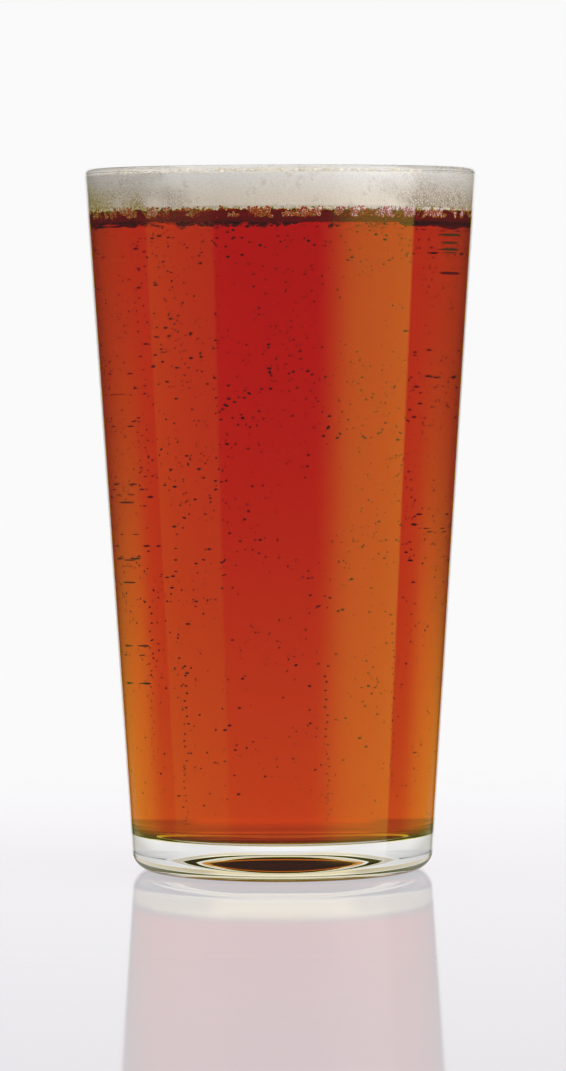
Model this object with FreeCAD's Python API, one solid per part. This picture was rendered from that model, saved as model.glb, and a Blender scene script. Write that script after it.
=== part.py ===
"""Pint of ale: a tapered pint glass, the ale that fills it, and its foam head.

Millimetres, +Z up. The origin is the centre of the foot, on the surface that the glass stands on.
Every piece is a solid of revolution about Z. The ale and the foam head take their sides from the
same inner wall as the glass, so all three lie face to face.
"""
import FreeCAD, Part
import math
import os

# --- the glass, outside -------------------------------------------------------------------------
GLASS_HEIGHT = 152.0        # foot to the top of the lip
RIM_RADIUS = 42.5           # outer cone, level with the top of the lip
FOOT_RADIUS = 32.5          # outer cone, level with the foot
HEEL_ROUND = 4.4            # rounding between the outer wall and the foot

# --- the glass, inside --------------------------------------------------------------------------
RIM_WALL = 2.1              # wall, measured level, at the top of the lip
LOW_WALL = 2.8              # wall, measured level, at the floor of the bowl
LIP_ROUND = 0.9             # rounding on each side of the lip
LIP_ROUND_LIMIT = 0.45      # share of the wall that one side's rounding may take
FLOOR_THICKNESS = 7.9       # solid glass between the foot's plane and the floor of the bowl
BOWL_ROUND = 2.6            # rounding between the floor of the bowl and the inner wall

# --- the hollow under the foot ------------------------------------------------------------------
HOLLOW_RADIUS = 24.0        # inner edge of the flat ring that the glass stands on
HOLLOW_RISE = 5.3           # how far the hollow rises
HOLLOW_CROWN = 5.0          # radius of the level middle of the hollow
HOLLOW_ROUND = 1.1          # rounding between the ring and the hollow

# --- what fills the glass -----------------------------------------------------------------------
ALE_BELOW_RIM = 8.6         # top of the lip down to the surface of the ale
HEAD_BELOW_RIM = 1.5        # top of the lip down to the edge of the foam
HEAD_CROWN = 0.7            # how far the foam swells above its edge, on the axis


def outer_radius(height):
    """Radius of the outer cone at a height above the foot."""
    return FOOT_RADIUS + (RIM_RADIUS - FOOT_RADIUS) * height / GLASS_HEIGHT


def inner_radius(height):
    """Radius of the inner cone at a height above the foot."""
    rim = RIM_RADIUS - RIM_WALL
    floor = outer_radius(FLOOR_THICKNESS) - LOW_WALL
    rise = (height - FLOOR_THICKNESS) / (GLASS_HEIGHT - FLOOR_THICKNESS)
    return floor + (rim - floor) * rise


def point(radius, height):
    """Point of a profile, in the half plane that is turned about Z."""
    return FreeCAD.Vector(radius, 0, height)


def line(start, end):
    """Straight edge between two points."""
    return Part.LineSegment(start, end).toShape()


def arc_about(centre, radius, start_angle, end_angle):
    """Arc about a centre. Angles are in radians from +X towards +Z."""
    angles = (start_angle, (start_angle + end_angle) / 2, end_angle)
    turns = [centre + point(math.cos(angle), math.sin(angle)) * radius for angle in angles]
    return Part.Arc(*turns)


def rounded_corner(before, corner, after, radius):
    """Arc of the given radius that is tangent to both sides of a corner."""
    to_before = (before - corner).normalize()
    to_after = (after - corner).normalize()
    half_angle = to_before.getAngle(to_after) / 2
    bisector = (to_before + to_after).normalize()
    reach = radius / math.tan(half_angle)
    middle = corner + bisector * (radius / math.sin(half_angle) - radius)
    return Part.Arc(corner + to_before * reach, middle, corner + to_after * reach)


def profile_edges(corners):
    """Straight edges through the corners, with an arc at each inner corner that has a radius."""
    edges = []
    start = corners[0][0]
    for index in range(1, len(corners) - 1):
        corner, radius = corners[index]
        if not radius:
            edges.append(line(start, corner))
            start = corner
            continue
        arc = rounded_corner(corners[index - 1][0], corner, corners[index + 1][0], radius)
        edges.append(line(start, arc.StartPoint))
        edges.append(arc.toShape())
        start = arc.EndPoint
    edges.append(line(start, corners[-1][0]))
    return edges


def hollow_edges():
    """Hollow under the foot: a level middle, a side that curves down, a rounding to the ring."""
    across = HOLLOW_RADIUS - HOLLOW_CROWN
    both_radii = (across ** 2 + HOLLOW_RISE ** 2) / (2 * HOLLOW_RISE)
    side_radius = both_radii - HOLLOW_ROUND
    side_centre = point(HOLLOW_CROWN, HOLLOW_RISE - side_radius)
    slope = math.asin(across / both_radii)
    upright = math.pi / 2
    middle = line(point(0, HOLLOW_RISE), point(HOLLOW_CROWN, HOLLOW_RISE))
    side = arc_about(side_centre, side_radius, upright, upright - slope)
    rounding = arc_about(point(HOLLOW_RADIUS, HOLLOW_ROUND), HOLLOW_ROUND, -upright - slope, -upright)
    return [middle, side.toShape(), rounding.toShape()]


def crown_edge(radius, edge_height):
    """Swollen top of the foam, from the axis, where it is level, down to its edge."""
    crown_radius = (radius ** 2 + HEAD_CROWN ** 2) / (2 * HEAD_CROWN)
    centre = point(0, edge_height + HEAD_CROWN - crown_radius)
    upright = math.pi / 2
    return arc_about(centre, crown_radius, upright, upright - math.asin(radius / crown_radius)).toShape()


def turned(edges):
    """Solid made by turning a closed profile about Z."""
    face = Part.Face(Part.Wire(edges))
    solid = face.revolve(FreeCAD.Vector(0, 0, 0), FreeCAD.Vector(0, 0, 1), 360)
    if not solid.isValid() or solid.Volume <= 0:
        raise ValueError("a turned profile is not a sound solid")
    return solid


def make_glass():
    """Tapered glass with a rounded lip, a thick floor, and a shallow hollow under its foot."""
    lip_round = min(LIP_ROUND, RIM_WALL * LIP_ROUND_LIMIT)
    wall = profile_edges([
        (point(HOLLOW_RADIUS, 0), 0),
        (point(FOOT_RADIUS, 0), HEEL_ROUND),
        (point(RIM_RADIUS, GLASS_HEIGHT), lip_round),
        (point(RIM_RADIUS - RIM_WALL, GLASS_HEIGHT), lip_round),
        (point(inner_radius(FLOOR_THICKNESS), FLOOR_THICKNESS), BOWL_ROUND),
        (point(0, FLOOR_THICKNESS), 0),
        (point(0, HOLLOW_RISE), 0),
    ])
    return turned(hollow_edges() + wall)


def make_ale():
    """Ale from the floor of the bowl up to its surface, which is level."""
    surface = GLASS_HEIGHT - ALE_BELOW_RIM
    return turned(profile_edges([
        (point(0, surface), 0),
        (point(0, FLOOR_THICKNESS), 0),
        (point(inner_radius(FLOOR_THICKNESS), FLOOR_THICKNESS), BOWL_ROUND),
        (point(inner_radius(surface), surface), 0),
        (point(0, surface), 0),
    ]))


def make_foam_head():
    """Foam from the surface of the ale up to its own slightly swollen top."""
    surface = GLASS_HEIGHT - ALE_BELOW_RIM
    edge = GLASS_HEIGHT - HEAD_BELOW_RIM
    sides = profile_edges([
        (point(inner_radius(edge), edge), 0),
        (point(inner_radius(surface), surface), 0),
        (point(0, surface), 0),
        (point(0, edge + HEAD_CROWN), 0),
    ])
    return turned([crown_edge(inner_radius(edge), edge)] + sides)


PIECES = {
    "glass": make_glass,
    "ale": make_ale,
    "foam_head": make_foam_head,
}

os.makedirs("parts", exist_ok=True)
for name, make in PIECES.items():
    shape = make()
    shape.exportStep(f"parts/{name}.step")
    print(f"{name}: {shape.Volume / 1000:.1f} ml")
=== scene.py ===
"""Pint of ale: the looks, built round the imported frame.

A tapered pint glass stands on its foot ring. Ale fills it and a foam head lies on the ale. Bubbles
sit near the inner wall, rise in the ale, cling under the foam and lie on top of it. Metres, +Z up.
"""

import logging
import math
from dataclasses import dataclass, field
from enum import Enum

import bpy
from mathutils import Euler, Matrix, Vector


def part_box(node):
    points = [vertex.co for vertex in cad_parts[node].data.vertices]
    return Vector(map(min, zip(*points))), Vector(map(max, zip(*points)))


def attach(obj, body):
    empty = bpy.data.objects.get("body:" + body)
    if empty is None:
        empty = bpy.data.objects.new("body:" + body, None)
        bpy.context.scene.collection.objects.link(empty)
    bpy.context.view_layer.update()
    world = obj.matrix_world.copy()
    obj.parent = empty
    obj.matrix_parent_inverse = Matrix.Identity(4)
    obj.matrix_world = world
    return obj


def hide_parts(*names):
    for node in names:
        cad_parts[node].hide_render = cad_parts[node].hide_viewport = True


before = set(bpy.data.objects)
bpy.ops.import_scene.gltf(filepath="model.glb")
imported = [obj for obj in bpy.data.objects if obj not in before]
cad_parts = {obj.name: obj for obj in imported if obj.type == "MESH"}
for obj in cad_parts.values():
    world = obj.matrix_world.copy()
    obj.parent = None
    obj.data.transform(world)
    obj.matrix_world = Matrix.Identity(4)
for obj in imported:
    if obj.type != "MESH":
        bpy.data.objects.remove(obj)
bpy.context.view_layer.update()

LOG = logging.getLogger("pint_of_ale")
BODY = "root"
MM = 0.001
Point2 = tuple[float, float]
Colour = tuple[float, float, float]
Socket = bpy.types.NodeSocket
GLASS_BEND = 1.5
ALE_BEND = 1.34
WHITE = (1.0, 1.0, 1.0, 1.0)
CLEAR = {"Base Color": WHITE, "Roughness": 0.0, "Transmission Weight": 1.0}


class Slot(Enum):
    """Material slots of the record, passed along with the pieces."""

    GLASS = "clear_glass"
    ALE = "amber_ale"
    FOAM = "cream_foam"


# --- node trees ---------------------------------------------------------------------------------


@dataclass
class Nodes:
    """A node tree, with short ways to add a node and join it to others."""

    tree: bpy.types.NodeTree

    def add(self, kind: str, inputs: dict | None = None, **settings: object) -> bpy.types.Node:
        """Add a node.

        Args:
            kind: Blender's name of the node.
            inputs: Value or source socket for each named or numbered input.
            settings: Properties of the node itself.

        Returns:
            The new node.
        """
        node = self.tree.nodes.new(kind)
        for name, value in settings.items():
            setattr(node, name, value)
        for key, value in (inputs or {}).items():
            if isinstance(value, Socket):
                self.tree.links.new(value, node.inputs[key])
            else:
                node.inputs[key].default_value = value
        return node

    def math(self, operation: str, *values: float | Socket) -> Socket:
        """Result of a Math node, with its numbers or sockets in the node's own order."""
        return self.add("ShaderNodeMath", dict(enumerate(values)), operation=operation).outputs[0]

    def product(self, first: float | Socket, *others: float | Socket) -> Socket:
        """Multiply numbers or sockets, one after the other."""
        for other in others:
            first = self.math("MULTIPLY", first, other)
        return first

    def smooth(self, value: Socket, low: float, high: float, start: float = 0.0,
               end: float | Socket = 1.0) -> Socket:
        """Soft ramp of a value: start up to low, end from high on."""
        ends = {"Value": value, "From Min": low, "From Max": high, "To Min": start, "To Max": end}
        return self.add("ShaderNodeMapRange", ends, interpolation_type="SMOOTHSTEP").outputs[0]

    def blend(self, factor: float | Socket, first: object, second: object) -> Socket:
        """Mix of two colours or sockets, by the share of the second."""
        ends = {
            key: (*value, 1.0) if isinstance(value, tuple) else value
            for key, value in ((6, first), (7, second))
        }
        return self.add("ShaderNodeMix", {0: factor, **ends}, data_type="RGBA").outputs[2]

    def noise(self, place: Socket, size: float, detail: float = 2.0) -> bpy.types.Node:
        """Noise Texture with patches of a size, read at a place: a number and a colour."""
        return self.add("ShaderNodeTexNoise", {"Vector": place, "Scale": 1 / size, "Detail": detail})

    def cells(self, place: Socket, size: float, feature: str = "F1") -> bpy.types.Node:
        """Voronoi Texture with cells of a size, read at a place."""
        return self.add("ShaderNodeTexVoronoi", {"Vector": place, "Scale": 1 / size}, feature=feature)

    def place(self) -> Socket:
        """Position on the piece."""
        return self.add("ShaderNodeTexCoord").outputs["Object"]

    def facing(self) -> Socket:
        """How far the surface turns away from the eye, from nothing to one."""
        return self.add("ShaderNodeLayerWeight", {"Blend": 0.5}).outputs["Facing"]

    def bump(self, height: Socket, strength: float, depth: float) -> Socket:
        """Relief of a height between nothing and one."""
        ends = {"Height": height, "Strength": strength, "Distance": depth}
        return self.add("ShaderNodeBump", ends).outputs[0]

    def coat(self, inputs: dict) -> bpy.types.Node:
        """Principled shader with the given inputs."""
        return self.add("ShaderNodeBsdfPrincipled", inputs)

    def show(self, shader: bpy.types.Node, **others: Socket) -> None:
        """Join a shader, and what else is given, to the material's output."""
        self.add("ShaderNodeOutputMaterial", {"Surface": shader.outputs[0], **others})


def new_material(name: str) -> tuple[bpy.types.Material, Nodes]:
    """Make an empty material, and its nodes."""
    material = bpy.data.materials.new(name)
    material.use_nodes = True
    material.node_tree.nodes.clear()
    return material, Nodes(material.node_tree)


# --- finishes -----------------------------------------------------------------------------------


@dataclass(frozen=True)
class GlassFinish:
    """Clear pressed glass, bare or wetted by the ale, which bends light less."""

    name: str = "clear_glass"
    bend: float = GLASS_BEND
    ripple_size: float = 9 * MM
    ripple_depth: float = 0.004 * MM
    ripple_strength: float = 0.4

    def make(self) -> bpy.types.Material:
        """Build the material: clear glass with a faint ripple in its surface."""
        material, nodes = new_material(self.name)
        ripple = nodes.noise(nodes.place(), self.ripple_size, 1.0).outputs[0]
        relief = nodes.bump(ripple, self.ripple_strength, self.ripple_depth)
        nodes.show(nodes.coat({**CLEAR, "IOR": self.bend, "Normal": relief}))
        return material


@dataclass(frozen=True)
class AleFinish:
    """Clear amber ale, which takes out blue first, then green, then red, with depth."""

    name: str = "amber_ale"
    density: float = 250.0
    passed: Colour = (0.966, 0.789, 0.0)

    def make(self) -> bpy.types.Material:
        """Build the material: no bend of its own, because the wetted glass has it."""
        material, nodes = new_material(self.name)
        depth = nodes.add(
            "ShaderNodeVolumeAbsorption", {"Color": (*self.passed, 1.0), "Density": self.density}
        )
        nodes.show(nodes.coat({**CLEAR, "IOR": 1.0}), Volume=depth.outputs[0])
        return material


@dataclass(frozen=True)
class GasFinish:
    """Gas inside the ale: light bends the other way, so a bubble has a dark edge."""

    name: str = "gas_in_ale"
    bend: float = 1 / ALE_BEND

    def make(self) -> bpy.types.Material:
        """Build the material."""
        material, nodes = new_material(self.name)
        nodes.show(nodes.add("ShaderNodeBsdfGlass", {"Roughness": 0.0, "IOR": self.bend}))
        return material


@dataclass(frozen=True)
class FoamFinish:
    """Cream foam of fine bubbles, whose cell walls are darkened with painted shade of each bubble's
    relief.

    The painted shade shows most towards both sides, where side light falls, and low down. Between its
    low and high heights the foam turns from warm to pale.
    """

    low: float
    high: float
    name: str = "cream_foam"
    light: Colour = (0.96, 0.935, 0.89)
    deep: Colour = (0.96, 0.87, 0.73)
    # Colour of the painted shade on the cell walls.
    shade: Colour = (0.50, 0.40, 0.31)
    cell: float = 0.58 * MM
    fine_cell: float = 0.30 * MM
    large_cell: float = 2.6 * MM
    patch: float = 12 * MM
    warp_size: float = 0.8 * MM
    warp_shift: float = 0.35 * MM
    side_shade_rate: float = 16.0
    side_shade_edges: Point2 = (0.84, 1.06)
    least_side_shade: float = 0.05
    wall_edges: Point2 = (0.03, 0.20)
    tone_share: float = 0.20
    fine_share: float = 0.16
    spot_share: float = 0.22
    roughness: float = 0.5
    relief: float = 0.25 * MM
    relief_strength: float = 0.7

    def make(self) -> bpy.types.Material:
        """Build the material: painted shade on the cell walls in some patches, smooth cream in others.
        """
        material, nodes = new_material(self.name)
        place = nodes.place()
        x, _, z = nodes.add("ShaderNodeSeparateXYZ", {0: place}).outputs
        broad = nodes.noise(place, self.patch).outputs[0]
        warp = nodes.noise(place, self.warp_size, 1.0)
        shift = nodes.add(
            "ShaderNodeVectorMath", {0: warp.outputs[1], "Scale": self.warp_shift}, operation="SCALE"
        ).outputs[0]
        moved = nodes.add("ShaderNodeVectorMath", {0: place, 1: shift}, operation="ADD").outputs[0]
        from_wall = nodes.cells(moved, self.cell, "DISTANCE_TO_EDGE").outputs["Distance"]
        tone = nodes.cells(moved, self.cell).outputs["Color"]
        fine = nodes.cells(place, self.fine_cell).outputs["Distance"]
        large = nodes.cells(place, self.large_cell).outputs["Distance"]

        # Painted shade: the cells darken most towards both sides, as side light would shade the bubbles'
        # relief.
        sideways = nodes.product(nodes.math("ABSOLUTE", x), self.side_shade_rate)
        towards_sides = nodes.math("ADD", broad, sideways)
        grain_painted_shade = nodes.smooth(towards_sides, *self.side_shade_edges, self.least_side_shade, 1.0)
        low_down = nodes.smooth(z, self.high - 1.5 * MM, self.low, 0.25, 1.0)
        walls = nodes.smooth(from_wall, *self.wall_edges, 1.0, 0.0)
        cells = nodes.math("ADD", walls, nodes.product(tone, self.tone_share))
        grain = nodes.product(nodes.smooth(fine, 0.3, 0.8), self.fine_share)
        share = nodes.math("ADD", nodes.product(cells, grain_painted_shade, low_down), grain)
        spots = nodes.product(
            nodes.smooth(large, 0.36, 0.30), self.spot_share,
            nodes.smooth(warp.outputs[0], 0.45, 0.55), nodes.smooth(broad, 0.42, 0.52),
        )
        share = nodes.math("MINIMUM", nodes.math("ADD", share, spots), 1.0)

        depth = nodes.smooth(z, self.high - 0.8 * MM, self.low + 1.0 * MM)
        colour = nodes.blend(share, nodes.blend(depth, self.light, self.deep), self.shade)
        swell = nodes.product(nodes.smooth(from_wall, 0.0, 0.25), grain_painted_shade)
        height = nodes.math("ADD", swell, nodes.product(fine, -0.3))
        relief = nodes.bump(height, self.relief_strength, self.relief)
        nodes.show(nodes.coat({"Base Color": colour, "Roughness": self.roughness, "Normal": relief}))
        return material


@dataclass(frozen=True)
class MottledFinish:
    """Two tones that run into each other in soft patches."""

    name: str
    light: Colour
    shade: Colour
    patch: float
    detail: float
    edges: Point2
    roughness: float

    def make(self) -> bpy.types.Material:
        """Build the material."""
        material, nodes = new_material(self.name)
        tone = nodes.noise(nodes.place(), self.patch, self.detail).outputs[0]
        colour = nodes.blend(nodes.smooth(tone, *self.edges), self.light, self.shade)
        nodes.show(nodes.coat({"Base Color": colour, "Roughness": self.roughness}))
        return material


# Wet cream bubbles, each with its own tone; and soaked foam, dark red brown, whose darkness is painted
# shade for the band under the head.
BEAD_FINISH = MottledFinish(
    "foam_bubbles", (0.93, 0.87, 0.76), (0.70, 0.58, 0.42), 1.1 * MM, 1.0, (0.35, 0.7), 0.22
)
FOAM_SHADE_FINISH = MottledFinish(
    "foam_shade_layer", (0.56, 0.035, 0.120), (0.28, 0.016, 0.060), 3 * MM, 3.0, (0.35, 0.65), 0.6
)


@dataclass(frozen=True)
class PaintedShadeSpeckFinish:
    """Tiny bubbles in the ale, which show as dark specks: a painted dark edge and a redder middle stand
    in for the light each one bends.
    """

    name: str = "bubble_specks_painted_shade"
    rim: Colour = (0.040, 0.006, 0.005)
    middle: Colour = (0.34, 0.030, 0.020)
    tone_size: float = 2.0 * MM
    roughness: float = 0.25

    def make(self) -> bpy.types.Material:
        """Build the material: painted shade on the edge, and some specks dark all over."""
        material, nodes = new_material(self.name)
        tone = nodes.noise(nodes.place(), self.tone_size, 1.0).outputs[0]
        edge = nodes.smooth(nodes.facing(), 0.05, 0.45)
        dark = nodes.math("MAXIMUM", edge, nodes.smooth(tone, 0.40, 0.62))
        colour = nodes.blend(dark, self.middle, self.rim)
        nodes.show(nodes.coat({"Base Color": colour, "Roughness": self.roughness}))
        return material


@dataclass(frozen=True)
class PaintedGlintRingFinish:
    """Bubbles pressed on the wall: a pale rim of painted glint, for the front light they mirror, round a
    dark red middle.
    """

    name: str = "glint_painted_bubbles"
    # Colour of the painted glint on the rim.
    rim: Colour = (1.0, 0.80, 0.98)
    middle: Colour = (0.42, 0.055, 0.09)
    tone_size: float = 0.9 * MM
    least_rim_glint: float = 0.25
    roughness: float = 0.2

    def make(self) -> bpy.types.Material:
        """Build the material: a painted glint on the rim, whose brightness varies from bubble to bubble.
        """
        material, nodes = new_material(self.name)
        tone = nodes.noise(nodes.place(), self.tone_size, 1.0).outputs[0]
        edge = nodes.smooth(nodes.facing(), 0.12, 0.52)
        painted_rim_glint = nodes.product(edge, nodes.smooth(tone, 0.35, 0.60, self.least_rim_glint, 1.0))
        colour = nodes.blend(painted_rim_glint, self.middle, self.rim)
        nodes.show(nodes.coat({"Base Color": colour, "Roughness": self.roughness}))
        return material


@dataclass(frozen=True)
class MarkFinish:
    """Fill mark etched into the glass, dull and dark against the lit ale."""

    name: str = "etched_mark"
    tone: Colour = (0.014, 0.007, 0.007)
    grain: float = 0.15 * MM
    roughness: Point2 = (0.45, 0.7)

    def make(self) -> bpy.types.Material:
        """Build the material: a dull etch with a fine grain."""
        material, nodes = new_material(self.name)
        grain = nodes.noise(nodes.place(), self.grain).outputs[0]
        rough = nodes.smooth(grain, 0.3, 0.7, *self.roughness)
        nodes.show(nodes.coat({"Base Color": (*self.tone, 1.0), "Roughness": rough}))
        return material


@dataclass(frozen=True)
class FloorFinish:
    """Pale glossy table top, which fades out into the pale background."""

    name: str = "pale_table"
    tone: Colour = (0.14, 0.138, 0.141)
    glow: Colour = (0.475, 0.462, 0.487)
    roughness: float = 0.06
    bend: float = 1.09
    centre: float = -0.13
    fade_start: float = 0.25
    fade_end: float = 0.38

    def make(self) -> bpy.types.Material:
        """Build the material: clear far from the glass and to what the glass mirrors."""
        material, nodes = new_material(self.name)
        away = nodes.add(
            "ShaderNodeVectorMath", {0: nodes.place(), 1: (0.0, self.centre, 0.0)}, operation="DISTANCE"
        ).outputs["Value"]
        mirrored = nodes.add("ShaderNodeLightPath").outputs["Is Reflection Ray"]
        clear = nodes.math("MAXIMUM", nodes.smooth(away, self.fade_start, self.fade_end), mirrored)
        shader = nodes.coat({
            "Base Color": (*self.tone, 1.0),
            "Roughness": self.roughness,
            "IOR": self.bend,
            "Emission Color": (*self.glow, 1.0),
            "Emission Strength": 1.0,
        })
        nothing = nodes.add("ShaderNodeBsdfTransparent")
        nodes.show(nodes.add(
            "ShaderNodeMixShader", {0: clear, 1: shader.outputs[0], 2: nothing.outputs[0]}
        ))
        return material


# --- lathe work ---------------------------------------------------------------------------------


def arc(centre: Point2, radius: float, start: float, end: float, steps: int) -> list[Point2]:
    """Points of an arc in the (radius, height) half plane, by its angles from outwards to up."""
    angles = [start + (end - start) * step / steps for step in range(steps + 1)]
    return [(centre[0] + radius * math.cos(a), centre[1] + radius * math.sin(a)) for a in angles]


def rounding(before: Point2, corner: Point2, after: Point2, radius: float, steps: int) -> list[Point2]:
    """Round the corner between two straight sides.

    Args:
        before: A point on the first side.
        corner: Where the sides would meet.
        after: A point on the second side.
        radius: Radius of the rounding.
        steps: Number of straight steps that stand for the arc.

    Returns:
        Points of the arc that is tangent to both sides.
    """
    tip = Vector(corner)
    first, last = (Vector(before) - tip).normalized(), (Vector(after) - tip).normalized()
    half = first.angle(last) / 2
    centre = tip + (first + last).normalized() * (radius / math.sin(half))
    start = tip + first * (radius / math.tan(half)) - centre
    end = tip + last * (radius / math.tan(half)) - centre
    start_angle = math.atan2(start.y, start.x)
    turn = (math.atan2(end.y, end.x) - start_angle + math.pi) % math.tau - math.pi
    return arc(tuple(centre), radius, start_angle, start_angle + turn, steps)


def run(start: Point2, end: Point2, steps: int) -> list[Point2]:
    """Evenly spaced points between two ends, with both ends left out."""
    return [
        (start[0] + (end[0] - start[0]) * step / steps, start[1] + (end[1] - start[1]) * step / steps)
        for step in range(1, steps)
    ]


def turned(name: str, profile: list[Point2], sides: int) -> bpy.types.Object:
    """Turn a profile about Z into a closed mesh.

    Args:
        name: Name of the piece.
        profile: Points from one end on the axis to the other, so that the faces point outwards:
            up the outside and back down the inside.
        sides: Number of steps round the axis.

    Returns:
        The new object, smooth shaded and linked to the scene.
    """
    rings = profile[1:-1]
    points = [(0.0, 0.0, profile[0][1])]
    for radius, height in rings:
        for side in range(sides):
            angle = math.tau * side / sides
            points.append((radius * math.cos(angle), radius * math.sin(angle), height))
    points.append((0.0, 0.0, profile[-1][1]))
    faces = []
    for side in range(sides):
        after = (side + 1) % sides
        faces.append((0, 1 + after, 1 + side))
        for ring in range(len(rings) - 1):
            low, high = 1 + ring * sides, 1 + (ring + 1) * sides
            faces.append((low + side, low + after, high + after, high + side))
        top = 1 + (len(rings) - 1) * sides
        faces.append((top + side, top + after, len(points) - 1))
    mesh = bpy.data.meshes.new(name)
    mesh.from_pydata(points, [], faces)
    mesh.shade_smooth()
    piece = bpy.data.objects.new(name, mesh)
    bpy.context.scene.collection.objects.link(piece)
    return piece


# --- geometry nodes -----------------------------------------------------------------------------


@dataclass
class Grower:
    """A geometry node tree with named inputs, which makes one plain mesh."""

    name: str
    nodes: Nodes = field(init=False)
    values: dict[str, object] = field(default_factory=dict)

    def __post_init__(self) -> None:
        """Start the tree with its geometry input and output."""
        tree = bpy.data.node_groups.new(self.name, "GeometryNodeTree")
        tree.interface.new_socket("Geometry", in_out="INPUT", socket_type="NodeSocketGeometry")
        tree.interface.new_socket("Geometry", in_out="OUTPUT", socket_type="NodeSocketGeometry")
        self.nodes = Nodes(tree)
        self.entry = self.nodes.add("NodeGroupInput")

    def size(self, name: str, value: float) -> Socket:
        """Add a named input, which is set to this value on the piece."""
        kind = "NodeSocketInt" if isinstance(value, int) else "NodeSocketFloat"
        self.nodes.tree.interface.new_socket(name, in_out="INPUT", socket_type=kind)
        self.values[name] = value
        return self.entry.outputs[name]

    def random(self, low: float | Socket, high: float | Socket, seed: int) -> Socket:
        """Even random value for each point, from a fixed seed."""
        return self.nodes.add(
            "FunctionNodeRandomValue", {2: low, 3: high, "Seed": seed}, data_type="FLOAT"
        ).outputs[1]

    def between(self, share: Socket, low: float | Socket, high: float | Socket) -> Socket:
        """Number that a share from nothing to one picks between two ends."""
        return self.nodes.add("ShaderNodeMapRange", {0: share, 3: low, 4: high}).outputs[0]

    def ball_size(self, smallest: float, largest: float, rarity: float, seed: int) -> Socket:
        """Random radius for each point, between two ends, with the large ones rare."""
        share = self.nodes.math("POWER", self.random(0.0, 1.0, seed), rarity)
        return self.between(share, self.size("Smallest", smallest), self.size("Largest", largest))

    def points(self, count: int | Socket) -> Socket:
        """Loose points."""
        return self.nodes.add("GeometryNodePoints", {"Count": count}).outputs[0]

    def moved(self, points: Socket, *place: Socket) -> Socket:
        """Set each point at its X, Y and Z."""
        spot = self.nodes.add("ShaderNodeCombineXYZ", dict(enumerate(place))).outputs[0]
        return self.nodes.add(
            "GeometryNodeSetPosition", {"Geometry": points, "Position": spot}
        ).outputs[0]

    def moved_round(self, points: Socket, radius: Socket, angle: Socket, height: Socket) -> Socket:
        """Set each point at its radius, its angle about Z and its height."""
        x = self.nodes.product(radius, self.nodes.math("COSINE", angle))
        y = self.nodes.product(radius, self.nodes.math("SINE", angle))
        return self.moved(points, x, y, height)

    def balls(self, points: Socket, size: Socket, detail: int = 1) -> Socket:
        """Put a ball of its size on each point: 20 faces, or 48 where the detail is 2."""
        if detail == 1:
            ball = self.nodes.add("GeometryNodeMeshIcoSphere", {"Radius": 1.0, "Subdivisions": 1})
        else:
            ball = self.nodes.add("GeometryNodeMeshUVSphere", {"Radius": 1.0, "Segments": 8, "Rings": 6})
        smooth = self.nodes.add("GeometryNodeSetShadeSmooth", {0: ball.outputs[0]}).outputs[0]
        return self.nodes.add(
            "GeometryNodeInstanceOnPoints", {"Points": points, "Instance": smooth, "Scale": size}
        ).outputs[0]

    def grow(self, made: Socket, finish: bpy.types.Material) -> bpy.types.Object:
        """Realize the tree's result as a plain mesh.

        Args:
            made: Geometry that the tree has made.
            finish: Material of every face.

        Returns:
            The new object, with no modifier left on it.
        """
        nodes = self.nodes
        plain = nodes.add("GeometryNodeRealizeInstances", {0: made}).outputs[0]
        dressed = nodes.add("GeometryNodeSetMaterial", {"Geometry": plain, "Material": finish})
        nodes.add("NodeGroupOutput", {0: dressed.outputs[0]})
        seed_mesh = bpy.data.meshes.new(self.name)
        piece = bpy.data.objects.new(self.name, seed_mesh)
        bpy.context.scene.collection.objects.link(piece)
        modifier = piece.modifiers.new(self.name, "NODES")
        modifier.node_group = nodes.tree
        for item in nodes.tree.interface.items_tree:
            if item.in_out == "INPUT" and item.name in self.values:
                modifier[item.identifier] = self.values[item.name]
        graph = bpy.context.evaluated_depsgraph_get()
        mesh = bpy.data.meshes.new_from_object(piece.evaluated_get(graph), depsgraph=graph)
        mesh.name = self.name
        piece.modifiers.clear()
        piece.data = mesh
        bpy.data.meshes.remove(seed_mesh)
        return piece


@dataclass
class Band:
    """Band of the inner wall where small round things lie: two heights and the radius at each."""

    low: float
    high: float
    radius_low: float
    radius_high: float


@dataclass
class Patches:
    """Patches that a swarm keeps to: where a noise of this size is at least this strong."""

    size: float
    least: float


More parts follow.
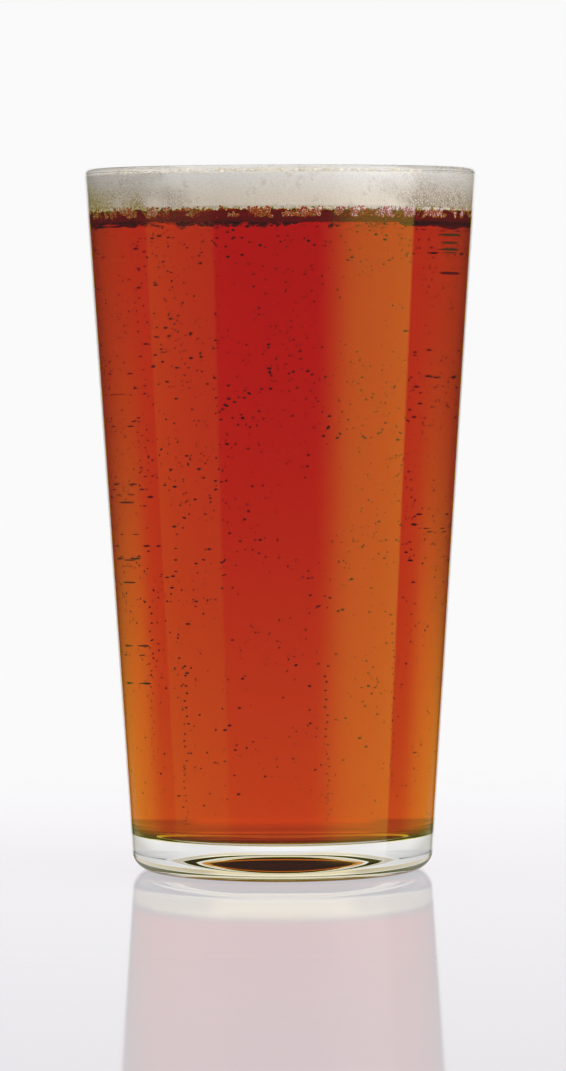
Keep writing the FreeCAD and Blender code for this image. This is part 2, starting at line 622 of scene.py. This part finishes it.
@dataclass
class Swarm:
    """Many small round things, scattered on a band of the wall and reaching in from it.

    The powers draw them towards the top or the wall and make the large ones rare. Sunk is the share
    of its radius that each is moved in from the wall.
    """

    name: str
    band: Band
    count: int
    smallest: float
    largest: float
    reach: float
    seed: int
    finish: bpy.types.Material
    slot: Slot
    patches: Patches | None = None
    towards_top: float = 1.0
    towards_wall: float = 2.0
    rarity: float = 2.5
    sunk: float = 1.0
    detail: int = 1

    def make(self) -> bpy.types.Object:
        """Scatter the balls, keep them in patches if asked to, and make them one mesh."""
        grower = Grower(self.name)
        nodes, seed, band = grower.nodes, self.seed, self.band
        points = grower.points(grower.size("Count", self.count))
        angle = grower.random(0.0, math.tau, seed)
        up = nodes.math("POWER", grower.random(0.0, 1.0, seed + 1), self.towards_top)
        height = grower.between(up, grower.size("Low", band.low), grower.size("High", band.high))
        wall = grower.between(
            up, grower.size("Radius low", band.radius_low), grower.size("Radius high", band.radius_high)
        )
        inset = nodes.math("POWER", grower.random(0.0, 1.0, seed + 2), self.towards_wall)
        size = grower.ball_size(self.smallest, self.largest, self.rarity, seed + 3)
        depth = nodes.product(inset, grower.size("Reach", self.reach))
        touching = nodes.math("SUBTRACT", wall, nodes.product(size, self.sunk))
        radius = nodes.math("SUBTRACT", touching, depth)
        points = grower.moved_round(points, radius, angle, height)
        if self.patches:
            points = self.thinned(grower, points, self.patches)
        balls = grower.balls(points, size, self.detail)
        return declare(grower.grow(balls, self.finish), self.slot)

    @staticmethod
    def thinned(grower: Grower, points: Socket, patches: Patches) -> Socket:
        """Take out the points that lie outside the patches."""
        nodes = grower.nodes
        spot = nodes.add("GeometryNodeInputPosition").outputs[0]
        noise = nodes.noise(spot, patches.size).outputs[0]
        bare = nodes.add(
            "FunctionNodeCompare", {0: noise, 1: patches.least}, operation="LESS_THAN"
        ).outputs[0]
        return nodes.add("GeometryNodeDeleteGeometry", {0: points, 1: bare}, domain="POINT").outputs[0]


@dataclass
class FoamTop:
    """Bubbles half sunk in the top of the foam, over its whole round."""

    name: str
    radius: float
    edge: float
    crown: float
    count: int
    smallest: float
    largest: float
    seed: int
    finish: bpy.types.Material
    detail: int = 1
    rarity: float = 3.0
    sunk: float = 0.35

    def make(self) -> bpy.types.Object:
        """Scatter the bubbles evenly over the round and lift each onto the swollen top."""
        grower = Grower(self.name)
        nodes, seed = grower.nodes, self.seed
        points = grower.points(grower.size("Count", self.count))
        angle = grower.random(0.0, math.tau, seed)
        out = nodes.math("SQRT", grower.random(0.0, 1.0, seed + 1))
        size = grower.ball_size(self.smallest, self.largest, self.rarity, seed + 2)
        reach = nodes.math("SUBTRACT", grower.size("Radius", self.radius), size)
        fall = nodes.product(out, out, grower.size("Crown", self.crown))
        top = nodes.math("SUBTRACT", grower.size("Top", self.edge + self.crown), fall)
        height = nodes.math("SUBTRACT", top, nodes.product(size, self.sunk))
        points = grower.moved_round(points, nodes.product(out, reach), angle, height)
        balls = grower.balls(points, size, self.detail)
        return declare(grower.grow(balls, self.finish), Slot.FOAM)


@dataclass
class BubbleString:
    """Bubbles that rise one above the other, further apart and larger on their way up."""

    name: str
    feet: tuple[tuple[float, float, float], ...]
    length: float
    count: int
    smallest: float
    largest: float
    sway: float
    seed: int
    finish: bpy.types.Material
    quickening: float = 1.25
    unevenness: float = 0.02

    def make(self) -> bpy.types.Object:
        """Build every string and join them in one mesh."""
        grower = Grower(self.name)
        nodes = grower.nodes
        count = grower.size("Count", self.count)
        length = grower.size("Length", self.length)
        index = nodes.add("GeometryNodeInputIndex").outputs[0]
        along = nodes.math("DIVIDE", index, nodes.math("SUBTRACT", count, 1.0))
        joined = nodes.add("GeometryNodeJoinGeometry")
        for number, (x, y, z) in enumerate(self.feet):
            seed = self.seed + 7 * number
            uneven = nodes.math("ADD", along, grower.random(0.0, self.unevenness, seed))
            rise = nodes.math("POWER", uneven, self.quickening)
            points = grower.moved(
                grower.points(count),
                nodes.math("ADD", grower.random(-self.sway, self.sway, seed + 1), x),
                nodes.math("ADD", grower.random(-self.sway, self.sway, seed + 2), y),
                nodes.math("ADD", nodes.product(rise, length), z),
            )
            balls = grower.balls(points, grower.between(along, self.smallest, self.largest))
            nodes.tree.links.new(balls, joined.inputs[0])
        return declare(grower.grow(joined.outputs[0], self.finish), Slot.ALE)


@dataclass(frozen=True)
class Bar:
    """One bar of the fill mark."""

    height: float
    span: float
    thickness: float


@dataclass
class FillMark:
    """Short level bars etched on the outer wall near the rim, lens shaped, without any sign."""

    glass: "PintGlass"
    finish: bpy.types.Material
    centre: float = math.radians(61.0)
    proud: float = 0.04 * MM
    taper_from: float = 1.94
    taper_power: float = 3.0
    bars: tuple[Bar, ...] = (
        Bar(137.4 * MM, math.radians(15.0), 0.52 * MM),
        Bar(135.7 * MM, math.radians(12.0), 0.44 * MM),
        Bar(134.3 * MM, math.radians(13.0), 0.48 * MM),
        Bar(133.6 * MM, math.radians(9.0), 0.26 * MM),
    )

    def make(self) -> bpy.types.Object:
        """Bend a flat box round the wall for each bar and thin it towards its ends."""
        grower = Grower("fill_mark")
        nodes, glass = grower.nodes, self.glass
        middle = grower.size("Centre", self.centre)
        slope = (glass.rim_radius - glass.foot_radius) / glass.height
        joined = nodes.add("GeometryNodeJoinGeometry")
        for number, bar in enumerate(self.bars):
            box = nodes.add(
                "GeometryNodeMeshCube",
                {"Size": (1.0, 1.0, 1.0), "Vertices X": 25, "Vertices Y": 2, "Vertices Z": 3},
            ).outputs[0]
            u, v, w = nodes.add(
                "ShaderNodeSeparateXYZ", {0: nodes.add("GeometryNodeInputPosition").outputs[0]}
            ).outputs
            span = grower.size(f"Span {number}", bar.span)
            angle = nodes.math("ADD", middle, nodes.product(u, span))
            along = nodes.math("ABSOLUTE", nodes.product(u, self.taper_from))
            taper = nodes.math("SUBTRACT", 1.0, nodes.math("POWER", along, self.taper_power))
            tall = nodes.product(taper, grower.size(f"Thickness {number}", bar.thickness))
            height = grower.size(f"Height {number}", bar.height)
            level = nodes.math("ADD", height, nodes.product(w, tall))
            wall = nodes.math("ADD", nodes.product(level, slope), glass.foot_radius)
            radius = nodes.math("ADD", wall, nodes.product(v, -2 * self.proud))
            x = nodes.product(radius, nodes.math("SINE", angle))
            y = nodes.product(radius, nodes.math("COSINE", angle), -1.0)
            nodes.tree.links.new(grower.moved(box, x, y, level), joined.inputs[0])
        return declare(grower.grow(joined.outputs[0], self.finish), Slot.GLASS)


def declare(piece: bpy.types.Object, slot: Slot, *stands_for: str) -> bpy.types.Object:
    """Tie a finished piece to the frame.

    Args:
        piece: The finished piece.
        slot: Material slot of the record; not used.
        stands_for: Nodes of the frame that it replaces.

    Returns:
        The same piece.
    """
    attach(piece, BODY)
    if stands_for:
        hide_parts(*stands_for)
    LOG.info("%s: %d faces", piece.name, len(piece.data.polygons))
    return piece


# --- the pint -----------------------------------------------------------------------------------


@dataclass
class PintGlass:
    """Tapered pint glass with a rounded lip, a thick floor and a hollow under its foot."""

    foot_radius: float = 32.5 * MM
    rim_radius: float = 42.5 * MM
    rim_wall: float = 2.1 * MM
    low_wall: float = 2.8 * MM
    lip_round: float = 0.9 * MM
    heel_round: float = 4.4 * MM
    bowl_round: float = 2.6 * MM
    hollow_radius: float = 24.0 * MM
    hollow_rise: float = 5.3 * MM
    hollow_round: float = 1.1 * MM
    hollow_crown: float = 5.0 * MM
    sides: int = 256
    height: float = field(init=False)
    floor: float = field(init=False)
    ale_level: float = field(init=False)
    foam_edge: float = field(init=False)
    head_crown: float = 0.7 * MM

    def __post_init__(self) -> None:
        """Read the heights from the frame."""
        self.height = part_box("glass")[1].z
        self.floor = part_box("ale")[0].z
        self.ale_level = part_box("ale")[1].z
        self.foam_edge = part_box("foam_head")[1].z - self.head_crown

    def outer(self, height: float) -> float:
        """Radius of the outer wall at a height."""
        return self.foot_radius + (self.rim_radius - self.foot_radius) * height / self.height

    def inner(self, height: float) -> float:
        """Radius of the inner wall at a height."""
        floor = self.outer(self.floor) - self.low_wall
        rim = self.rim_radius - self.rim_wall
        return floor + (rim - floor) * (height - self.floor) / (self.height - self.floor)

    def hollow(self) -> list[Point2]:
        """Profile under the foot, from the axis out to the flat ring."""
        across = self.hollow_radius - self.hollow_crown
        both = (across ** 2 + self.hollow_rise ** 2) / (2 * self.hollow_rise)
        bend = both - self.hollow_round
        slope = math.asin(across / both)
        up = math.pi / 2
        axis, crown = (0.0, self.hollow_rise), (self.hollow_crown, self.hollow_rise)
        middle = [axis] + run(axis, crown, 4)
        side = arc((self.hollow_crown, self.hollow_rise - bend), bend, up, up - slope, 32)
        edge = arc((self.hollow_radius, self.hollow_round), self.hollow_round, -up - slope, -up, 8)
        return middle + side + edge[1:]

    def outside(self) -> list[Point2]:
        """Profile of the heel, the outer wall and the outer half of the lip."""
        foot = (self.foot_radius, 0.0)
        rim = (self.rim_radius, self.height)
        inside = (self.rim_radius - self.rim_wall, self.height)
        heel = rounding((self.hollow_radius, 0.0), foot, rim, self.heel_round, 16)
        lip = rounding(foot, rim, inside, self.lip_round, 10)
        ring = run((self.hollow_radius, 0.0), heel[0], 4)
        return ring + heel + run(heel[-1], lip[0], 40) + lip

    def inside(self) -> list[Point2]:
        """Profile of the inner half of the lip, the inner wall and the floor of the bowl."""
        rim = (self.rim_radius, self.height)
        inside = (self.rim_radius - self.rim_wall, self.height)
        corner = (self.inner(self.floor), self.floor)
        lip = rounding(rim, inside, corner, self.lip_round, 10)
        bowl = rounding(inside, corner, (0.0, self.floor), self.bowl_round, 16)
        floor = run(bowl[-1], (0.0, self.floor), 12)
        return lip + run(lip[-1], bowl[0], 40) + bowl + floor + [(0.0, self.floor)]

    def make(self) -> bpy.types.Object:
        """Turn the glass and give the wall that the ale wets its own finish."""
        piece = turned("pint_glass", self.hollow() + self.outside() + self.inside(), self.sides)
        piece.data.materials.append(GlassFinish().make())
        piece.data.materials.append(GlassFinish("wetted_glass", GLASS_BEND / ALE_BEND).make())
        for face in piece.data.polygons:
            spot = Vector(face.center)
            across = math.hypot(spot.x, spot.y)
            near_inner = across < (self.inner(spot.z) + self.outer(spot.z)) / 2
            in_bowl = self.floor - 0.1 * MM < spot.z < self.foam_edge
            face.material_index = int(near_inner and in_bowl)
        return declare(piece, Slot.GLASS, "glass")


@dataclass
class Ale:
    """Ale that fills the bowl and reaches just into the wall of the glass."""

    glass: PintGlass
    into_wall: float = 0.15 * MM
    sides: int = 256

    def make(self) -> bpy.types.Object:
        """Turn the ale."""
        glass = self.glass
        low = glass.floor - self.into_wall
        corner = (glass.inner(low) + self.into_wall, low)
        top = (glass.inner(glass.ale_level) + self.into_wall, glass.ale_level)
        bowl = rounding((0.0, low), corner, top, glass.bowl_round, 16)
        floor = run((0.0, low), bowl[0], 12)
        surface = run(top, (0.0, top[1]), 12)
        wall = run(bowl[-1], top, 40)
        profile = [(0.0, low)] + floor + bowl + wall + [top] + surface + [(0.0, top[1])]
        piece = turned("ale_fill", profile, self.sides)
        piece.data.materials.append(AleFinish().make())
        return declare(piece, Slot.ALE, "ale")


@dataclass
class FoamHead:
    """Cream foam on the ale, level with the wall and slightly swollen in the middle."""

    glass: PintGlass
    finish: bpy.types.Material
    into_wall: float = 0.12 * MM
    into_ale: float = 0.10 * MM
    sides: int = 256

    def make(self) -> bpy.types.Object:
        """Turn the foam head."""
        glass = self.glass
        low = glass.ale_level - self.into_ale
        edge = (glass.inner(glass.foam_edge) + self.into_wall, glass.foam_edge)
        bottom = (glass.inner(low) + self.into_wall, low)
        crown = (edge[0] ** 2 + glass.head_crown ** 2) / (2 * glass.head_crown)
        up = math.pi / 2
        top = arc(
            (0.0, edge[1] + glass.head_crown - crown), crown, up - math.asin(edge[0] / crown), up, 60
        )
        profile = [(0.0, low)] + run((0.0, low), bottom, 40) + [bottom] + run(bottom, edge, 16) + top
        profile[-1] = (0.0, edge[1] + glass.head_crown)
        piece = turned("foam_head_body", profile, self.sides)
        piece.data.materials.append(self.finish)
        return declare(piece, Slot.FOAM, "foam_head")


@dataclass
class FoamShadeLayer:
    """Lowest layer of the head, soaked with ale, which hangs a little into the ale; its dark colour is
    painted shade for the band under the foam.
    """

    glass: PintGlass
    finish: bpy.types.Material
    depth: float = 1.2 * MM
    from_wall: float = 0.4 * MM
    into_foam: float = 0.3 * MM
    rounding: float = 0.9 * MM
    wave: float = 0.08 * MM
    waves: tuple[tuple[float, int, float], ...] = (
        (1.0, 3, 1.1), (1.0, 7, 0.3), (0.7, 19, 0.0), (0.5, 43, 2.0)
    )
    sides: int = 192

    def ripple(self, angle: float) -> float:
        """Sum of the waves at an angle about Z, each a share, a number of crests and a start."""
        return sum(share * math.sin(crests * angle + start) for share, crests, start in self.waves)

    def make(self) -> bpy.types.Object:
        """Turn the layer, round its lower edge and make its underside a little wavy."""
        glass = self.glass
        low, high = glass.ale_level - self.depth, glass.ale_level + self.into_foam
        across = glass.inner(low) - self.from_wall
        edge = rounding((0.0, low), (across, low), (across, high), self.rounding, 8)
        profile = [(0.0, low)] + run((0.0, low), edge[0], 40) + edge + [(across, high), (0.0, high)]
        piece = turned("foam_shade_layer", profile, self.sides)
        for point in piece.data.vertices:
            x, y, z = point.co
            out = math.hypot(x, y) / across
            if z < high - 0.1 * MM and out > 0.02:
                point.co.z += self.wave * self.ripple(math.atan2(y, x)) * out
        piece.data.materials.append(self.finish)
        return declare(piece, Slot.FOAM)


# --- the studio ---------------------------------------------------------------------------------


@dataclass(frozen=True)
class Edges:
    """Soft edges of a patch of light: it opens over one pair of angles and shuts over the other."""

    opens: Point2
    shuts: Point2


@dataclass
class Studio:
    """Pale table, studio light and the camera.

    A turn is counted from the camera's side to the right and a rise from level upwards, both in
    degrees. Mirrored light is what the glass reflects, the back and the floor are what shows through
    it, and the foam is lit by a softer light of its own.
    """

    distance: float = 1150 * MM
    beside: float = 0.5 * MM
    below_rim: float = 27.5 * MM
    aim_below_rim: float = 79.5 * MM
    lens: float = 178.0
    roll: float = 0.2
    clip: Point2 = (0.05, 20.0)
    table_radius: float = 520 * MM
    table_drop: float = 0.05 * MM
    table_sides: int = 96
    backdrop: float = 0.955
    spill: float = 0.02
    top_power: float = 0.75
    top_rise: Point2 = (50.0, 60.0)
    back_power: float = 0.785
    back_rise: Edges = Edges((-9.0, -6.0), (16.5, 20.0))
    table_lift: float = 1.14
    lift_rise: Point2 = (-1.0, -5.0)
    side_fall: Point2 = (0.77, 1.22)
    side_rise: Point2 = (2.0, -0.8)
    side_turn: Point2 = (160.0, 122.0)
    floor_power: float = 0.72
    floor_rise: Point2 = (-7.0, -12.0)
    right_power: float = 1.62
    right_turn: Edges = Edges((20.0, 52.0), (85.0, 88.0))
    left_power: float = 0.38
    left_turn: Edges = Edges((-89.0, -87.0), (-42.0, -39.0))
    box_rise: Edges = Edges((-20.0, -9.0), (45.0, 70.0))
    behind_turn: Point2 = (158.0, 165.0)
    table_power: float = 0.44
    table_rise: Point2 = (-9.0, -13.0)
    rim_power: float = 0.55
    rim_turn: Edges = Edges((96.0, 118.0), (148.0, 164.0))
    rim_rise: Point2 = (-3.5, -9.0)
    foam_power: float = 1.8
    foam_opens: Point2 = (-30.0, 5.0)
    foam_shuts: Point2 = (15.0, 50.0)
    foam_above: float = 0.14
    foam_side: float = 2.4
    foam_turn: Edges = Edges((25.0, 60.0), (95.0, 125.0))
    foam_rise: Edges = Edges((-20.0, 0.0), (40.0, 60.0))
    black_lift: float = 0.011
    blue_curve: tuple[Point2, ...] = ((0.09, 0.018), (0.17, 0.10), (0.28, 0.27))
    green_curve: tuple[Point2, ...] = ((0.016, 0.0125), (0.04, 0.036), (0.12, 0.12))

    def table(self) -> bpy.types.Object:
        """Round table top, flat, just under the foot."""
        turns = [math.tau * side / self.table_sides for side in range(self.table_sides)]
        reach = self.table_radius
        rim = [(reach * math.cos(turn), reach * math.sin(turn), -self.table_drop) for turn in turns]
        mesh = bpy.data.meshes.new("table_top")
        mesh.from_pydata(rim, [], [tuple(range(self.table_sides))])
        piece = bpy.data.objects.new("table_top", mesh)
        bpy.context.scene.collection.objects.link(piece)
        mesh.materials.append(FloorFinish().make())
        return piece

    def camera(self) -> bpy.types.Object:
        """Camera in front of the glass, a little below the rim, looking slightly down."""
        data = bpy.data.cameras.new("camera")
        data.lens = self.lens
        camera = bpy.data.objects.new("camera", data)
        bpy.context.scene.collection.objects.link(camera)
        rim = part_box("glass")[1].z
        camera.location = (self.beside, -self.distance, rim - self.below_rim)
        drop = math.atan2(self.aim_below_rim - self.below_rim, self.distance)
        camera.rotation_euler = Euler((math.pi / 2 - drop, math.radians(self.roll), 0.0), "XYZ")
        data.clip_start, data.clip_end = self.clip
        bpy.context.scene.camera = camera
        return camera

    def light(self) -> None:
        """Bright all round for what shows through the glass, soft boxes for what it mirrors."""
        world = bpy.data.worlds.new("studio")
        bpy.context.scene.world = world
        world.use_nodes = True
        world.node_tree.nodes.clear()
        nodes = Nodes(world.node_tree)
        way = nodes.add("ShaderNodeTexCoord").outputs["Generated"]
        x, y, z = nodes.add("ShaderNodeSeparateXYZ", {0: way}).outputs
        degrees = 180 / math.pi
        turn = nodes.product(nodes.math("ARCTAN2", x, nodes.product(y, -1.0)), degrees)
        rise = nodes.product(nodes.math("ARCSINE", z), degrees)
        aside = nodes.math("ABSOLUTE", turn)

        def window(value: Socket, edges: Edges) -> Socket:
            """One between two soft edges, and nothing outside."""
            opened = nodes.smooth(value, *edges.opens)
            return nodes.product(opened, nodes.smooth(value, *edges.shuts, 1.0, 0.0))

        def total(*lamps: tuple) -> Socket:
            """Sum of lamps, each a power and the masks that shape it."""
            light: float | Socket = self.spill
            for power, *masks in lamps:
                for mask in masks:
                    power = nodes.product(mask, power)
                light = nodes.math("ADD", light, power)
            return light

        boxes = window(rise, self.box_rise)
        top = (self.top_power, nodes.smooth(rise, *self.top_rise))
        back = window(rise, self.back_rise)
        lift = nodes.smooth(rise, *self.lift_rise, 1.0, self.table_lift)
        side = nodes.smooth(rise, *self.side_rise, *self.side_fall)
        shaped = nodes.product(lift, nodes.smooth(aside, *self.side_turn, 1.0, side))
        mirrored = total(
            (self.right_power, window(turn, self.right_turn), boxes),
            (self.left_power, window(turn, self.left_turn), boxes),
            (1.0, nodes.smooth(aside, *self.behind_turn), back),
            top,
            (self.table_power, nodes.smooth(rise, *self.table_rise)),
            (self.rim_power, window(aside, self.rim_turn), nodes.smooth(rise, *self.rim_rise)),
        )
        through = total(
            (self.back_power, back, shaped),
            top,
            (self.floor_power, nodes.smooth(rise, *self.floor_rise)),
        )
        falling = nodes.smooth(rise, *self.foam_shuts, 1.0, self.foam_above)
        soft = total(
            (self.foam_power, nodes.smooth(rise, *self.foam_opens), falling),
            (self.foam_side, window(turn, self.foam_turn), window(rise, self.foam_rise)),
        )
        path = nodes.add("ShaderNodeLightPath").outputs
        scattered = nodes.math("GREATER_THAN", path["Diffuse Depth"], 0.5)
        strength = self.choose(nodes, path["Is Reflection Ray"], through, mirrored)
        strength = self.choose(nodes, scattered, strength, soft)
        strength = self.choose(nodes, path["Is Camera Ray"], strength, self.backdrop)
        shine = nodes.add("ShaderNodeBackground", {"Color": WHITE, "Strength": strength})
        nodes.add("ShaderNodeOutputWorld", {"Surface": shine.outputs[0]})

    @staticmethod
    def choose(nodes: Nodes, share: Socket, first: object, second: object) -> Socket:
        """Mix two numbers by a share of the second."""
        return nodes.add("ShaderNodeMix", {0: share, 2: first, 3: second}, data_type="FLOAT").outputs[0]

    def grade(self) -> None:
        """Plain view, with the darkest blues held down, as the ale leaves none of them."""
        view = bpy.context.scene.view_settings
        view.view_transform = "Standard"
        view.use_curve_mapping = True
        curves = view.curve_mapping
        curves.use_clip = False
        for curve, places in ((curves.curves[1], self.green_curve), (curves.curves[2], self.blue_curve)):
            curve.points[0].location = (0.0, self.black_lift)
            curve.points[1].location = (1.0, 1.0)
            for place in places:
                curve.points.new(*place)
            for point in curve.points:
                point.handle_type = "VECTOR"
        curves.update()

    def make(self) -> None:
        """Set up the table, the camera, the light and the view."""
        self.table()
        self.camera()
        self.light()
        self.grade()


@dataclass
class Bubbles:
    """Every kind of bubble in the ale, on the wall and on the foam."""

    glass: PintGlass
    gas: bpy.types.Material
    bead: bpy.types.Material
    ring: bpy.types.Material
    speck: bpy.types.Material
    string_feet: tuple[tuple[float, float, float], ...] = (
        (22.0 * MM, -19.0 * MM, 20 * MM),
        (-14.0 * MM, 11.0 * MM, 10 * MM),
        (6.0 * MM, 21.0 * MM, 10 * MM),
        (-24.0 * MM, -8.0 * MM, 24 * MM),
    )

    def band(self, low: float, high: float) -> Band:
        """Band of the inner wall between two heights."""
        return Band(low, high, self.glass.inner(low), self.glass.inner(high))

    def in_ale(self) -> None:
        """Fine bubbles near the wall and rising in strings."""
        band = self.band(self.glass.floor + 3 * MM, self.glass.ale_level - 0.6 * MM)
        Swarm(
            "wall_bubbles", band, count=7000, smallest=0.09 * MM, largest=0.28 * MM, reach=2.5 * MM,
            seed=11, finish=self.speck, slot=Slot.ALE, patches=Patches(16 * MM, 0.47),
            towards_top=0.62, rarity=1.6,
        ).make()
        BubbleString(
            "rising_strings", self.string_feet, length=34 * MM, count=24, smallest=0.13 * MM,
            largest=0.24 * MM, sway=0.35 * MM, seed=41, finish=self.speck,
        ).make()

    def under_foam(self) -> None:
        """Clusters of larger bubbles on the wall right under the foam: clear ones, and ones with a
        painted glint as a pale ring.
        """
        level = self.glass.ale_level
        Swarm(
            "foam_clusters", self.band(level - 2.7 * MM, level - 0.3 * MM), count=3600,
            smallest=0.14 * MM, largest=0.40 * MM, reach=0.5 * MM, seed=23, finish=self.gas,
            slot=Slot.ALE, patches=Patches(3.2 * MM, 0.50), towards_top=0.5, towards_wall=1.6,
            rarity=1.6, sunk=0.97,
        ).make()
        Swarm(
            "glint_painted_bubbles", self.band(level - 2.2 * MM, level), count=8000,
            smallest=0.17 * MM, largest=0.40 * MM, reach=0.05 * MM, seed=29, finish=self.ring,
            slot=Slot.FOAM, patches=Patches(3.8 * MM, 0.50), towards_top=0.75, rarity=1.7, sunk=0.5,
        ).make()

    def on_foam(self) -> None:
        """Beads along both edges of the foam and bubbles on its top."""
        glass = self.glass
        level, edge = glass.ale_level, glass.foam_edge
        Swarm(
            "foam_edge_beads", self.band(level - 0.75 * MM, level + 0.1 * MM), count=1900,
            smallest=0.18 * MM, largest=0.42 * MM, reach=0.05 * MM, seed=31, finish=self.bead,
            slot=Slot.FOAM, rarity=1.4, sunk=0.5, towards_top=0.6, detail=2,
        ).make()
        Swarm(
            "rim_beads", self.band(edge + 0.05 * MM, edge + 0.45 * MM), count=420,
            smallest=0.07 * MM, largest=0.17 * MM, reach=0.02 * MM, seed=37, finish=self.gas,
            slot=Slot.FOAM, patches=Patches(7 * MM, 0.5), sunk=0.7,
        ).make()
        across = glass.inner(edge) - 1.6 * MM
        FoamTop(
            "foam_top_fine", across, edge, glass.head_crown, count=7000, smallest=0.16 * MM,
            largest=0.45 * MM, seed=53, finish=self.bead,
        ).make()
        FoamTop(
            "foam_top_large", across, edge, glass.head_crown, count=420, smallest=0.5 * MM,
            largest=1.3 * MM, seed=59, finish=self.bead, detail=2, rarity=2.0, sunk=0.55,
        ).make()

    def make(self) -> None:
        """Make them all."""
        self.in_ale()
        self.under_foam()
        self.on_foam()


def main() -> None:
    """Build every piece in order, then the studio."""
    logging.basicConfig(level=logging.INFO, format="%(name)s: %(message)s")
    glass = PintGlass()
    glass.make()
    Ale(glass).make()
    cream = FoamFinish(low=glass.ale_level - 0.5 * MM, high=glass.foam_edge + 0.5 * MM)
    FoamHead(glass, cream.make()).make()
    FoamShadeLayer(glass, FOAM_SHADE_FINISH.make()).make()
    Bubbles(
        glass, GasFinish().make(), BEAD_FINISH.make(), PaintedGlintRingFinish().make(), PaintedShadeSpeckFinish().make()
    ).make()
    FillMark(glass, MarkFinish().make()).make()
    Studio().make()


if __name__ == "__main__":
    main()
